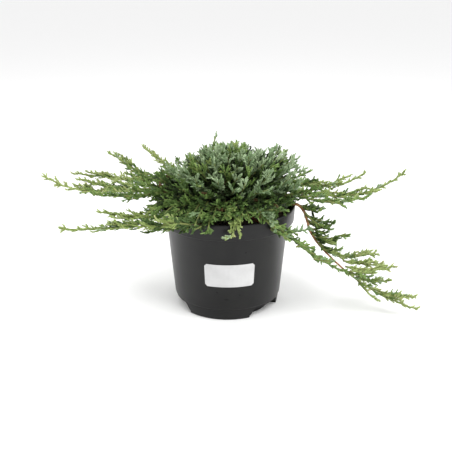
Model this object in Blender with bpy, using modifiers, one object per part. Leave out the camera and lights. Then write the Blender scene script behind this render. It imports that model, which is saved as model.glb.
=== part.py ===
"""Glauca creeping juniper in a round black nursery pot.

A low, spreading conifer: one short woody stem with a root flare, boughs that
radiate from it, a crown of separate foliage masses standing round a hollow,
and long flat shoots that lie out over the rim. One bough climbs over the rim
on the right and hangs beside the pot, with its own fan of shoots.

Metres, +Z up. The origin is the middle of the pot's flat underside, -Y is the
front, +X is the right-hand side seen from the front. Azimuths are measured
from the front, positive towards the right.
"""
import math

import bmesh
import bpy
from mathutils import Vector, noise

MM = 0.001

# ------------------------------------------------------------------ pot, mm
RIM_RADIUS = 95.0            # outer radius of the collar at the lip
POT_HEIGHT = 147.2
COLLAR_HEIGHT = 21.7         # the wide band under the lip
COLLAR_LOW_RADIUS = 93.9
BODY_TOP_RADIUS = 85.7       # just under the collar
STEP_HEIGHT = 17.0           # small step round the foot
BODY_LOW_RADIUS = 75.9       # at the step
FOOT_TOP_RADIUS = 74.9
FOOT_RADIUS = 72.4           # on the ground
WALL = 1.6
FLOOR = 2.0
LIP = 2.6
NOTCH_COUNT = 3              # arches between the three feet
NOTCH_AZIMUTH = 49.6
NOTCH_WIDTH = 49.5           # degrees
NOTCH_HEIGHT = 13.5
NOTCH_SLOPE = 7.0            # degrees over which its ends run down
NOTCH_INNER = 61.0           # radius of the recess's back wall
DRAIN_RADIUS = 4.6
POT_SEGMENTS = 46

# ----------------------------------------------------------------- soil, mm
SOIL_TOP = 132.5
SOIL_EDGE = 130.0
SOIL_BOTTOM = FLOOR + 0.3
GAP = 0.3                    # clearance between touching pieces

# ---------------------------------------------------------------- label, mm
LABEL_AZIMUTH = 2.0
LABEL_WIDTH = 68.0
LABEL_LOW, LABEL_HIGH = 53.0, 86.6
LABEL_THICK = 0.5
LABEL_CORNER = 3.0

# ----------------------------------------------------------------- stem, mm
STEM_BASE = SOIL_TOP + GAP
STEM_TOP = 151.0
FLARE_RADIUS = 11.0
STEM_RADIUS = 6.4
STEM_HEAD = 7.4
STEM_LEAN = 2.0              # the head stands this far to the back

# ---------------------------------------------------------------- crown, mm
CROWN_MID = 159.0            # height of the widest level
CROWN_TOP = 235.0
CROWN_DEPTH = 9.5            # how far the lower edge turns under
CROWN_POWER = 0.77
CROWN_RADIUS = {             # reach of the eight ring masses
    "front": 93.0, "front_right": 94.0, "right": 103.0, "back_right": 109.0,
    "back": 114.0, "back_left": 110.0, "left": 110.0, "front_left": 98.0,
}
RING_ORDER = ["front", "front_right", "right", "back_right",
              "back", "back_left", "left", "front_left"]
RING_LIFT = {"right": 6.0}   # lifted where a bough passes under it
RING_LOW, RING_HIGH = -38.0, 47.0    # where the ring starts and ends on the dome
TOP_START = 49.0
HOLLOW = 0.57                # the hollow's share of the crown's reach
TOP_SPLITS = [("crown_top_left", -0.98, -0.30),
              ("crown_top_middle", -0.27, 0.36),
              ("crown_top_right", 0.39, 0.98)]
RING_GAP = 1.1               # degrees between ring masses
UNEVEN = 3.2                 # drift of the whole crown's shape
TUFT_DEPTH, TUFT_SIZE = 6.5, 17.0    # depth and spacing of the tufts on its outside

# ------------------------------------------------- outlying shoots, mm and deg
# name: start azimuth, radius, height / tip azimuth, radius, height /
#       bow up, bow aside, skew up / half width, half thickness
SHOOTS = {
    "shoot_left_long":        (-90, 110, 167.5, -97.8, 265, 174, -12.2, 0.5, 2.9, 8.0, 5.2),
    "shoot_left_under":       (-79, 108, 163.5, -80.7, 186, 165.5, -3.0, 0.0, -0.6, 7.0, 4.4),
    "shoot_left_upper":       (-107, 107.5, 175, -103.7, 232, 173, -1.0, 0.0, -0.2, 8.0, 5.6),
    "shoot_left_mid":         (-99, 132, 173, -94.0, 212, 177.5, -3.0, 3.0, -0.7, 4.6, 3.0),
    "shoot_back_left":        (-118, 105.5, 174, -118.1, 202, 192, -1.0, 0.0, -1.2, 7.0, 5.0),
    "shoot_back_left_upper":  (-128, 101.8, 189, -122.7, 149, 205, 0.0, 0.0, 0.0, 4.8, 3.6),
    "shoot_front_left":       (-60, 94.5, 154, -68.5, 180, 155, -6.0, 0.0, -1.5, 8.0, 4.8),
    "shoot_front_left_long":  (-21, 91, 155, -60.4, 239, 152, -4.0, 0.0, 1.0, 7.5, 4.6),
    "shoot_front_left_low":   (-45, 96.5, 152.5, -50.2, 141, 133.5, -1.0, 0.0, 0.5, 5.0, 3.0),
    "shoot_right_upper":      (97, 105.6, 171, 99.2, 199, 180, -10.1, -0.4, 0.3, 7.6, 5.2),
    "shoot_right_long":       (85.5, 102.2, 166, 90.0, 245, 191, -18.1, -0.3, 1.6, 6.4, 4.6),
    "shoot_right_lower":      (73.5, 99.4, 164.0, 79.6, 194, 167, -5.9, 0.0, -0.5, 6.8, 4.2),
    "shoot_low_leader":       (74.9, 165.6, 64.0, 77.3, 272, 9.5, -7.7, -0.5, -0.1, 4.4, 3.0),
    "shoot_low_second":       (74.2, 215.5, 34.5, 74.4, 267, 36, -1.6, 0.0, 0.0, 3.4, 2.4),
    "shoot_low_tuft":         (77.4, 135, 98, 80.5, 167, 81, 0.0, 0.0, 0.4, 6.2, 5.2),
    "shoot_low_fan_back":     (82.2, 152, 75, 87.3, 214, 73, -1.3, 0.0, -1.1, 4.6, 3.2),
    "shoot_low_fan_upper":    (76.4, 160, 73.5, 79.6, 221, 69, -1.5, 0.0, 0.0, 4.6, 3.4),
    "shoot_low_fan_middle":   (73.6, 165, 70, 75.6, 234, 74, -5.0, 0.0, -0.1, 5.4, 3.4),
    "shoot_low_fan_lower":    (78.6, 180, 54.5, 82.6, 232, 40, -2.2, 0.0, 0.2, 3.8, 2.8),
    "shoot_hang_tuft":        (78.7, 119, 139, 79.6, 129, 106, 0.3, 0.6, 0.2, 6.0, 6.0),
    "shoot_hang_spray_upper": (74.4, 119.6, 121, 71.8, 152, 133, -1.6, 0.0, 0.2, 5.4, 3.0),
    "shoot_hang_spray_lower": (72.9, 125.4, 107.5, 70.6, 172, 120, -3.6, 0.0, -1.6, 5.4, 3.2),
    "shoot_front_right_long": (34, 94, 158.5, 69.2, 172, 70, -8.5, 1.5, 3.5, 4.6, 3.2),
    "shoot_front_right_fan":  (25, 87.5, 158, 29.5, 115, 141, 3.6, 0.0, 0.0, 8.0, 3.2),
    "shoot_front_spray":      (6.5, 95, 158, -1.8, 105, 133, 1.5, 3.0, 0.0, 6.4, 3.0),
    "shoot_top_whip":         (-146, 27, 234.5, -153.0, 37, 250, 0.0, 0.0, 0.0, 2.2, 2.0),
    "shoot_back_long":        (176, 114, 164, 179, 226, 160, 5.0, -3.0, 0.0, 7.5, 4.8),
    "shoot_back_right":       (147, 110, 162, 151, 214, 148, 5.0, 0.0, 0.0, 7.2, 4.8),
    "shoot_back_right_low":   (124, 108, 158, 127, 192, 124, 6.0, 0.0, 0.0, 7.0, 4.6),
    "shoot_back_low":         (-168, 112, 158, -163, 192, 112, 8.0, 0.0, 0.0, 7.0, 4.6),
    "shoot_back_left_low":    (-140, 110, 158, -138, 199, 130, 6.0, 0.0, 0.0, 7.0, 4.6),
}
SHOOT_SIDES, SHOOT_RINGS = 6, 8
FAT_AT = 0.34                # where along its length a shoot is widest

# --------------------------------------------- the bough over the rim, mm, deg
# azimuth, radius, height, limb radius at each knee, split where it bends down
RIM_BOUGH = {
    "bough_right_rim": [(74, 9.2, 140.0, 3.3), (75, 30, 142.0, 3.2), (76, 60, 144.5, 3.1),
                        (76, 80, 149.5, 3.0), (76, 91, 152.3, 3.0), (76, 98, 152.5, 3.0),
                        (76, 104, 149.0, 2.9), (75.8, 109, 142.0, 2.8)],
    "bough_right_hanging": [(75.7, 109.8, 140.0, 2.8), (75.5, 113, 131.0, 2.7), (75.2, 117, 117.0, 2.6),
                            (75, 126, 103.0, 2.4), (75, 138, 89.5, 2.2), (75, 150, 78.0, 2.0),
                            (75, 164, 66.0, 1.8)],
}
BOUGH_ROOT_RADIUS, BOUGH_END_RADIUS = 2.6, 1.7
BOUGH_SIDES = 2              # bevel resolution of a limb

COLOURS = {
    "pot": ((0.018, 0.018, 0.020), 0.45),
    "soil": ((0.020, 0.014, 0.010), 0.95),
    "label": ((0.85, 0.85, 0.85), 0.40),
    "bark": ((0.16, 0.075, 0.040), 0.85),
    "crown": ((0.055, 0.12, 0.050), 0.60),
    "shoot": ((0.16, 0.25, 0.065), 0.60),
}


# ------------------------------------------------------------------- helpers
def clear_scene():
    for o in list(bpy.data.objects):
        bpy.data.objects.remove(o, do_unlink=True)


def collection(name, hidden=False):
    c = bpy.data.collections.new(name)
    bpy.context.scene.collection.children.link(c)
    return c


def material(name, key):
    (r, g, b), rough = COLOURS[key]
    m = bpy.data.materials.new(name)
    m.use_nodes = True
    p = m.node_tree.nodes["Principled BSDF"]
    p.inputs["Base Color"].default_value = (r, g, b, 1.0)
    p.inputs["Roughness"].default_value = rough
    p.inputs["Metallic"].default_value = 0.0
    m.diffuse_color = (r, g, b, 1.0)
    return m


def polar(azimuth, radius, height):
    """A point in metres from degrees and millimetres."""
    a = math.radians(azimuth)
    return Vector((radius * math.sin(a), -radius * math.cos(a), height)) * MM


def object_from(bm, name, key, coll):
    if bm.calc_volume(signed=True) < 0:          # a mapping that mirrors turns faces inwards
        bmesh.ops.reverse_faces(bm, faces=bm.faces)
    me = bpy.data.meshes.new(name)
    bm.to_mesh(me)
    bm.free()
    o = bpy.data.objects.new(name, me)
    coll.objects.link(o)
    me.materials.append(material(name + "_finish", key))
    return o


def turned(name, profile, key, coll, segments=POT_SEGMENTS):
    """A profile of (radius, height) in mm, turned round the Z axis."""
    me = bpy.data.meshes.new(name)
    me.from_pydata([(r * MM, 0.0, z * MM) for r, z in profile],
                   [(i, i + 1) for i in range(len(profile) - 1)], [])
    o = bpy.data.objects.new(name, me)
    coll.objects.link(o)
    me.materials.append(material(name + "_finish", key))
    s = o.modifiers.new("turn", "SCREW")
    s.axis = "Z"
    s.angle = math.tau
    s.steps = s.render_steps = segments
    s.use_merge_vertices = True
    s.merge_threshold = 0.00001
    s.use_smooth_shade = False
    return o


def boolean(o, cutter, name, operation="DIFFERENCE"):
    b = o.modifiers.new(name, "BOOLEAN")
    b.operation = operation
    b.solver = "EXACT"
    b.object = cutter


def as_cutter(o):
    o.hide_render = True
    o.display_type = "WIRE"
    return o


def applied(o, coll):
    """The object's evaluated mesh as a plain mesh object of the same name."""
    deps = bpy.context.evaluated_depsgraph_get()
    deps.update()
    me = bpy.data.meshes.new_from_object(o.evaluated_get(deps))
    name = o.name
    mats = [m for m in o.data.materials]
    mw = o.matrix_world.copy()
    bpy.data.objects.remove(o, do_unlink=True)
    n = bpy.data.objects.new(name, me)
    n.matrix_world = mw
    coll.objects.link(n)
    if not me.materials:
        for m in mats:
            me.materials.append(m)
    return n


# ----------------------------------------------------------------------- pot
def wall_radius(z):
    """Outer radius of the pot's body above the step."""
    low, high = STEP_HEIGHT, POT_HEIGHT - COLLAR_HEIGHT
    return BODY_LOW_RADIUS + (BODY_TOP_RADIUS - BODY_LOW_RADIUS) * (z - low) / (high - low)


def foot_radius(z):
    return FOOT_RADIUS + (FOOT_TOP_RADIUS - FOOT_RADIUS) * z / STEP_HEIGHT


def pot_profile():
    top, low = POT_HEIGHT, POT_HEIGHT - COLLAR_HEIGHT
    inner_low = WALL + 0.2
    outer = [
        (RIM_RADIUS - 0.9, top), (RIM_RADIUS, top - 0.9), (RIM_RADIUS, top - 3.0),
        (COLLAR_LOW_RADIUS, low), (COLLAR_LOW_RADIUS - 1.2, low - 0.8),
        (BODY_TOP_RADIUS + 0.8, low - 1.4), (BODY_TOP_RADIUS, low - 2.6),
        (BODY_LOW_RADIUS, STEP_HEIGHT), (FOOT_TOP_RADIUS, STEP_HEIGHT - 1.0),
        (FOOT_RADIUS + 0.2, 0.8), (FOOT_RADIUS - 0.8, 0.0), (0.0, 0.0),
    ]
    inner = [
        (0.0, FLOOR), (FOOT_RADIUS - inner_low, FLOOR),
        (FOOT_TOP_RADIUS - WALL, STEP_HEIGHT), (BODY_TOP_RADIUS - WALL, low - 1.0),
        (COLLAR_LOW_RADIUS - WALL - 0.4, low + 1.2), (RIM_RADIUS - LIP, top - 3.4),
        (RIM_RADIUS - LIP, top - 0.6), (RIM_RADIUS - LIP + 0.6, top),
    ]
    return inner + outer


def notch_block(name, grow, coll):
    """A curved block with sloping ends: the recess of one arch, grown all round."""
    bm = bmesh.new()
    bmesh.ops.create_cube(bm, size=1.0)
    steps = 8
    along = [e for e in bm.edges if abs((e.verts[0].co - e.verts[1].co).normalized().x) > 0.9]
    bmesh.ops.subdivide_edges(bm, edges=along, cuts=steps - 1, use_grid_fill=True)
    half = NOTCH_WIDTH / 2 + math.degrees(grow / FOOT_RADIUS)
    for v in bm.verts:
        a = v.co.x * 2.0 * half
        ramp = min(1.0, (half - abs(a)) / NOTCH_SLOPE)
        high = 3.2 + (NOTCH_HEIGHT - 3.2) * (ramp * ramp * (3 - 2 * ramp)) + grow
        r = NOTCH_INNER - grow if v.co.y < 0 else FOOT_TOP_RADIUS + 14.0
        z = -4.0 if v.co.z < 0 else high
        v.co = polar(a, r, z)
    # the sloping ends are twisted quads, so all blocks are split along the same diagonals
    bmesh.ops.triangulate(bm, faces=bm.faces, quad_method="FIXED")
    return object_from(bm, name, "pot", coll)


def build_pot(parts, cutters):
    pot = turned("pot", pot_profile(), "pot", parts)
    pot = applied(pot, parts)
    soil = turned("soil", soil_profile(), "soil", parts)
    soil = applied(soil, parts)
    for i in range(NOTCH_COUNT):
        turn = math.radians(NOTCH_AZIMUTH + 360.0 * i / NOTCH_COUNT)
        # the wall goes round the recess, inside the pot
        shell = notch_block(f"notch_shell_{i}", WALL, cutters)
        limit = turned(f"notch_limit_{i}", [(0, 0.0), (0, 40.0), (FOOT_TOP_RADIUS - 0.4, 40.0),
                                            (FOOT_TOP_RADIUS - 0.4, STEP_HEIGHT - 1.2),
                                            (FOOT_RADIUS - 0.6, 0.4), (0, 0.4)][1:], "pot", cutters)
        shell.rotation_euler.z = turn
        boolean(shell, as_cutter(limit), "inside", "INTERSECT")
        boolean(pot, as_cutter(shell), f"shell_{i}", "UNION")
        room = notch_block(f"notch_room_{i}", WALL + GAP, cutters)
        room.rotation_euler.z = turn
        boolean(soil, as_cutter(room), f"room_{i}")
        cut = notch_block(f"notch_cut_{i}", 0.0, cutters)
        cut.rotation_euler.z = turn
        boolean(pot, as_cutter(cut), f"notch_{i}")
    for i in range(NOTCH_COUNT):
        azimuth = NOTCH_AZIMUTH - 5.0 + 360.0 * i / NOTCH_COUNT
        bm = bmesh.new()
        bmesh.ops.create_cone(bm, cap_ends=True, segments=14, radius1=DRAIN_RADIUS * MM,
                              radius2=DRAIN_RADIUS * MM, depth=5.0 * MM)
        hole = object_from(bm, f"drain_cut_{i}", "pot", cutters)
        hole.location = polar(azimuth, NOTCH_INNER + 6.6, NOTCH_HEIGHT + 1.0)
        boolean(pot, as_cutter(hole), f"drain_{i}")
    return pot, soil


def soil_profile():
    low = POT_HEIGHT - COLLAR_HEIGHT
    edge = BODY_TOP_RADIUS - WALL - GAP
    return [
        (0.0, SOIL_TOP), (22.0, SOIL_TOP), (58.0, SOIL_TOP - 0.9),
        (COLLAR_LOW_RADIUS - WALL - 1.4, SOIL_EDGE), (COLLAR_LOW_RADIUS - WALL - 1.4, low + 2.2),
        (edge - 0.1, low - 0.8), (FOOT_TOP_RADIUS - WALL - GAP, STEP_HEIGHT),
        (FOOT_RADIUS - WALL - 0.2 - GAP, SOIL_BOTTOM), (0.0, SOIL_BOTTOM),
    ]


def build_label(parts):
    """A thin rounded sheet that follows the pot's cone."""
    bm = bmesh.new()
    bmesh.ops.create_cube(bm, size=1.0)
    across = [e for e in bm.edges if abs((e.verts[0].co - e.verts[1].co).normalized().x) > 0.9]
    bmesh.ops.subdivide_edges(bm, edges=across, cuts=13, use_grid_fill=True)
    mid = (LABEL_LOW + LABEL_HIGH) / 2
    half_w, half_h = LABEL_WIDTH / 2, (LABEL_HIGH - LABEL_LOW) / 2
    for v in bm.verts:
        t = v.co.x * 2.0
        x = half_w * (math.copysign(1 - (1 - abs(t)) ** 1.25, t))
        inset = max(0.0, abs(x) - (half_w - LABEL_CORNER))
        h = half_h - LABEL_CORNER + math.sqrt(max(0.0, LABEL_CORNER ** 2 - inset ** 2))
        z = mid + math.copysign(h, v.co.z)
        r = wall_radius(z) + GAP + (LABEL_THICK if v.co.y < 0 else 0.0)
        # facets of the body lie inside its true circle, so the sheet is clear of them
        v.co = polar(LABEL_AZIMUTH + math.degrees(x / wall_radius(mid)), r, z)
    return object_from(bm, "label", "label", parts)


# ---------------------------------------------------------------------- wood
def build_stem(parts):
    profile = [(0.0, STEM_TOP), (STEM_HEAD * 0.55, STEM_TOP - 0.2), (STEM_HEAD, STEM_TOP - 2.2),
               (STEM_HEAD - 0.2, STEM_TOP - 5.5), (STEM_RADIUS, STEM_BASE + 9.0),
               (STEM_RADIUS + 0.9, STEM_BASE + 5.0), (FLARE_RADIUS - 1.6, STEM_BASE + 2.0),
               (FLARE_RADIUS, STEM_BASE), (0.0, STEM_BASE)]
    o = applied(turned("stem", profile, "bark", parts, segments=14), parts)
    for v in o.data.vertices:
        up = max(0.0, v.co.z / MM - STEM_BASE) / (STEM_TOP - STEM_BASE)
        a = math.atan2(v.co.x, -v.co.y)
        swell = 1.0 + (1.0 - up) * 0.13 * math.cos(3 * a + 0.6)
        v.co.x *= swell
        v.co.y = v.co.y * swell + STEM_LEAN * MM * up ** 1.5
    return o


def limb(name, points, radii, parts):
    """One tapering limb with flat ends, from points in metres and radii in mm."""
    cu = bpy.data.curves.new(name, "CURVE")
    cu.dimensions = "3D"
    cu.bevel_depth = MM
    cu.bevel_resolution = BOUGH_SIDES
    cu.use_fill_caps = True
    sp = cu.splines.new("POLY")
    sp.points.add(len(points) - 1)
    for p, co, r in zip(sp.points, points, radii):
        p.co = (*co, 1.0)
        p.radius = r
    cu.materials.append(material(name + "_finish", "bark"))
    o = bpy.data.objects.new(name, cu)
    parts.objects.link(o)
    deps = bpy.context.evaluated_depsgraph_get()
    deps.update()
    me = bpy.data.meshes.new_from_object(o.evaluated_get(deps))
    mw = o.matrix_world.copy()
    bpy.data.objects.remove(o, do_unlink=True)
    bm = bmesh.new()
    bm.from_mesh(me)
    bmesh.ops.remove_doubles(bm, verts=bm.verts, dist=0.00001)
    if bm.calc_volume(signed=True) < 0:
        bmesh.ops.reverse_faces(bm, faces=bm.faces)
    bm.to_mesh(me)
    bm.free()
    n = bpy.data.objects.new(name, me)
    n.matrix_world = mw
    parts.objects.link(n)
    if not me.materials:
        me.materials.append(material(name + "_finish", "bark"))
    return n


# --------------------------------------------------------------------- crown
def ripple(p):
    """One smooth displacement for the whole crown, so neighbours stay apart."""
    q = p / (26.0 * MM)
    return Vector((noise.noise(q + Vector((3.1, 0, 0))),
                   noise.noise(q + Vector((0, 7.7, 0))),
                   0.8 * noise.noise(q + Vector((0, 0, 5.3))))) * UNEVEN * MM


def tufts(p):
    """Extra reach of the outside at a point: rounded tufts with creases between."""
    q = p / (TUFT_SIZE * MM)
    n = noise.noise(q + Vector((11.3, 4.1, 0.7))) + 0.5 * noise.noise(2.1 * q + Vector((0, 9.2, 2.4)))
    return TUFT_DEPTH * MM * (0.15 + n - 0.35 * abs(n))


def reach(azimuth):
    """The crown's horizontal reach, blended between the named ring radii."""
    t = (azimuth % 360.0) / 45.0
    i = int(t) % 8
    f = t - int(t)
    f = f * f * (3 - 2 * f)
    a, b = RING_ORDER[i], RING_ORDER[(i + 1) % 8]
    return CROWN_RADIUS[a] * (1 - f) + CROWN_RADIUS[b] * f


def dome(azimuth, phi, lift=0.0):
    """A point of the crown's outside: phi runs from under the edge to the top."""
    c = max(0.0, math.cos(math.radians(phi))) ** CROWN_POWER
    s = math.sin(math.radians(phi))
    s = math.copysign(abs(s) ** CROWN_POWER, s)
    high = CROWN_TOP - CROWN_MID
    # shoulders: lower on the left, a dip between the two heads on the right
    x = reach(azimuth) * c * math.sin(math.radians(azimuth))
    if phi > 0:
        high *= 1.0 - 0.20 * max(0.0, min(1.0, (-x - 25.0) / 60.0))
        high *= 1.0 - 0.10 * math.exp(-((x - 47.0) / 8.0) ** 2)
        z = CROWN_MID + high * s + lift * max(0.0, 1 - phi / RING_HIGH)
    else:
        z = CROWN_MID + CROWN_DEPTH * s + lift
    return polar(azimuth, reach(azimuth) * c, z)


def crown_cube(nu, nv, nw):
    """A cube primitive cut into a grid, with coordinates from 0 to 1."""
    bm = bmesh.new()
    bmesh.ops.create_cube(bm, size=1.0)
    for axis, n in ((0, nu), (1, nv), (2, nw)):
        for i in range(1, n):
            plane = Vector((0, 0, 0))
            plane[axis] = -0.5 + i / n
            no = Vector((0, 0, 0))
            no[axis] = 1.0
            bmesh.ops.bisect_plane(bm, geom=bm.verts[:] + bm.edges[:] + bm.faces[:],
                                   plane_co=plane, plane_no=no, dist=1e-6)
    for v in bm.verts:
        v.co += Vector((0.5, 0.5, 0.5))
    return bm


def rounded(u, v, w, depth=0.10):
    """The outside draws in towards a mass's own edges."""
    e = max(abs(2 * u - 1), abs(2 * v - 1))
    return 1.0 - depth * w * e ** 4


def ring_point(a, phi, w, lift, u=0.5, v=0.5):
    out = dome(a, phi, lift)
    rise = max(0.0, min(1.0, v))
    heart = Vector((0.0, 0.0, (153.5 + lift * (1 - rise) + 17.0 * rise) * MM))
    share = HOLLOW + (rounded(u, v, 1.0) - HOLLOW) * w
    p = heart + (out - heart) * share
    rim = max(0.0, min(1.0, (phi - RING_LOW) / 25.0))      # the underside stays smooth over the rim
    p += (out - heart).normalized() * tufts(p) * w * rim
    return p + ripple(p)


def build_crown(parts):
    ends = {}
    for i, key in enumerate(RING_ORDER):
        bm = crown_cube(6, 7, 2)
        lift = RING_LIFT.get(key, 0.0)
        for q in bm.verts:
            u, v, w = q.co
            a = 45.0 * i + (u - 0.5) * (45.0 - RING_GAP)
            phi = RING_LOW + (RING_HIGH - RING_LOW) * v
            q.co = ring_point(a, phi, w, lift, u, v)
        object_from(bm, "crown_" + key, "crown", parts)
        ends["crown_" + key] = ring_point(45.0 * i, RING_LOW + (RING_HIGH - RING_LOW) * 4 / 7, 0.0, lift, 0.5, 4 / 7)
    for name, p0, p1 in TOP_SPLITS:
        bm = crown_cube(5, 9, 2)

        def place(u, v, w):
            p, s = p0 + (p1 - p0) * u, 0.98 * (2 * v - 1)
            x, y = p * math.sqrt(1 - s * s / 2), s * math.sqrt(1 - p * p / 2)
            rho = min(1.0, math.hypot(x, y))
            a = math.degrees(math.atan2(x, -y))
            phi = 90.0 - (90.0 - TOP_START) * rho
            out = dome(a, phi)
            heart = Vector((0.0, 0.0, 172.0 * MM))
            share = HOLLOW + (rounded(u, v, 1.0, 0.07) - HOLLOW) * w
            q = heart + (out - heart) * share
            q += (out - heart).normalized() * tufts(q) * w
            return q + ripple(q)

        for q in bm.verts:
            q.co = place(*q.co)
        object_from(bm, name, "crown", parts)
        ends[name] = place(0.5, 5 / 9, 0.0)
    return ends


def build_boughs(ends, parts):
    """One bough from the stem's head to the inner face of each mass."""
    for i, (mass, end) in enumerate(ends.items()):
        if mass in ("crown_top_left", "crown_top_right"):
            continue                     # these two stand on the middle one's leader
        name = mass.replace("crown", "bough")
        flat = Vector((end.x, end.y, 0.0))
        azimuth = math.degrees(math.atan2(end.x, -end.y))
        if mass.startswith("crown_top"):
            start = Vector((0.0, STEM_LEAN * MM, 0.0)) + polar(azimuth, 4.6, STEM_TOP + 0.9)
            start = Vector((0.0, STEM_LEAN * MM, (STEM_TOP + 3.2) * MM))
        else:
            start = polar(azimuth, STEM_HEAD + 1.9, STEM_TOP - 3.6)
            if i == 0:
                start += Vector((0, 0.4 * MM, 0))
            start.y += 0.6 * STEM_LEAN * MM
        run = end - start
        stop = end - run.normalized() * 1.6 * MM
        points, radii = [], []
        steps = 3
        for k in range(steps + 1):
            t = k / steps
            p = start.lerp(stop, t)
            if not mass.startswith("crown_top"):
                p.z -= 3.0 * MM * 4 * t * (1 - t)        # it leaves the stem low and then rises
            points.append(p)
            radii.append(BOUGH_ROOT_RADIUS + (BOUGH_END_RADIUS - BOUGH_ROOT_RADIUS) * t)
        if mass.startswith("crown_top"):
            radii = [r * 0.8 for r in radii]
        limb(name, points, radii, parts)
    for name, knees in RIM_BOUGH.items():
        limb(name, [polar(a, r, z) for a, r, z, _ in knees], [k[3] for k in knees], parts)


# -------------------------------------------------------------------- shoots
def shoot_axis(row, s):
    a0, r0, z0, a1, r1, z1, up, aside, skew = row[:9]
    p0, p1 = polar(a0, r0, z0), polar(a1, r1, z1)
    chord = p1 - p0
    side = Vector((-chord.y, chord.x, 0.0))
    side = side.normalized() if side.length > 1e-9 else Vector((1, 0, 0))
    bow = 4 * s * (1 - s)
    wave = 10.392 * s * (1 - s) * (1 - 2 * s)
    return p0 + chord * s + (Vector((0, 0, up)) * bow + side * aside * bow
                             + Vector((0, 0, skew)) * wave) * MM


def shoot_width(s):
    """Blunt at the root, widest at a third of the length, thin at the tip."""
    root = min(1.0, 0.45 + 0.55 * s / FAT_AT)
    tip = min(1.0, (1.0 - s) / (1.0 - FAT_AT))
    return root * (0.16 + 0.84 * tip ** 0.9)


def build_shoot(name, row, seed, parts):
    """A sphere primitive drawn out along the shoot's axis, flat and uneven."""
    half_width, half_thick = row[9], row[10]
    bm = bmesh.new()
    bmesh.ops.create_uvsphere(bm, u_segments=SHOOT_SIDES, v_segments=SHOOT_RINGS, radius=1.0)
    for v in bm.verts:
        d = v.co.normalized()
        s = math.acos(max(-1.0, min(1.0, -d.z))) / math.pi
        ahead = (shoot_axis(row, min(1.0, s + 0.01)) - shoot_axis(row, max(0.0, s - 0.01))).normalized()
        side = ahead.cross(Vector((0, 0, 1)))
        side = side.normalized() if side.length > 1e-6 else Vector((1, 0, 0))
        over = side.cross(ahead).normalized()
        flat = math.hypot(d.x, d.y)
        p = shoot_axis(row, s)
        if flat > 1e-6:
            a = math.atan2(d.y, d.x)
            lump = 1.0 + 0.24 * noise.noise(Vector((seed * 3.7 + math.cos(a), s * 7.0, math.sin(a))))
            wide = shoot_width(s) * lump
            p = p + (side * math.cos(a) * half_width + over * math.sin(a) * half_thick) * wide * MM
        v.co = p
    object_from(bm, name, "shoot", parts)


def main():
    clear_scene()
    parts = collection("glauca_creeping_juniper")
    cutters = collection("cutters")
    build_pot(parts, cutters)
    build_label(parts)
    build_stem(parts)
    ends = build_crown(parts)
    build_boughs(ends, parts)
    for i, (name, row) in enumerate(SHOOTS.items()):
        build_shoot(name, row, i + 1, parts)
    root = bpy.data.objects.new("root", None)
    parts.objects.link(root)
    for o in list(parts.objects):
        if o is not root and o.type == "MESH":
            o.parent = root
            o.data.set_sharp_from_angle(angle=math.radians(40))


main()
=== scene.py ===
import bpy, bmesh, math
import numpy as np
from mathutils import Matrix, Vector


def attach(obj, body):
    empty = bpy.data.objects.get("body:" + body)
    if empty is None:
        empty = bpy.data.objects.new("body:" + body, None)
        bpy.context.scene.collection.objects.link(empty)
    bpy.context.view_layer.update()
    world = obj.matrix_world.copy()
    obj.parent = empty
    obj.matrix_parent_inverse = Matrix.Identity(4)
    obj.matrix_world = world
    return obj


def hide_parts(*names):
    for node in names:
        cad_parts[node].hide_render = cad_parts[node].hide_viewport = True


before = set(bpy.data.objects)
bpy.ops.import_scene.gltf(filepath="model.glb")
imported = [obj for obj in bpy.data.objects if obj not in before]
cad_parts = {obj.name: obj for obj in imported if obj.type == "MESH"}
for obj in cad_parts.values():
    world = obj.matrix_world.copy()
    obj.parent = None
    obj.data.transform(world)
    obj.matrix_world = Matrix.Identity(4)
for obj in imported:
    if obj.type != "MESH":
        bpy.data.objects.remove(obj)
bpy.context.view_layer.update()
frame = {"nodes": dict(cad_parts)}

NODES = list(frame["nodes"])
MM = 0.001
rng = np.random.default_rng(4177)
coll = bpy.context.scene.collection


# ------------------------------------------------------------------ materials
def srgb(*rgb):
    return tuple((c / 12.92 if c <= 0.04045 else ((c + 0.055) / 1.055) ** 2.4)
                 for c in (v / 255.0 for v in rgb)) + (1.0,)


def plain(name, colour, rough=0.6, sheen=0.0):
    m = bpy.data.materials.new(name)
    m.use_nodes = True
    b = m.node_tree.nodes["Principled BSDF"]
    b.inputs["Base Color"].default_value = colour
    b.inputs["Roughness"].default_value = rough
    b.inputs["Specular IOR Level"].default_value = 0.35
    if sheen:
        b.inputs["Sheen Weight"].default_value = sheen
    m.diffuse_color = colour
    return m


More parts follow.
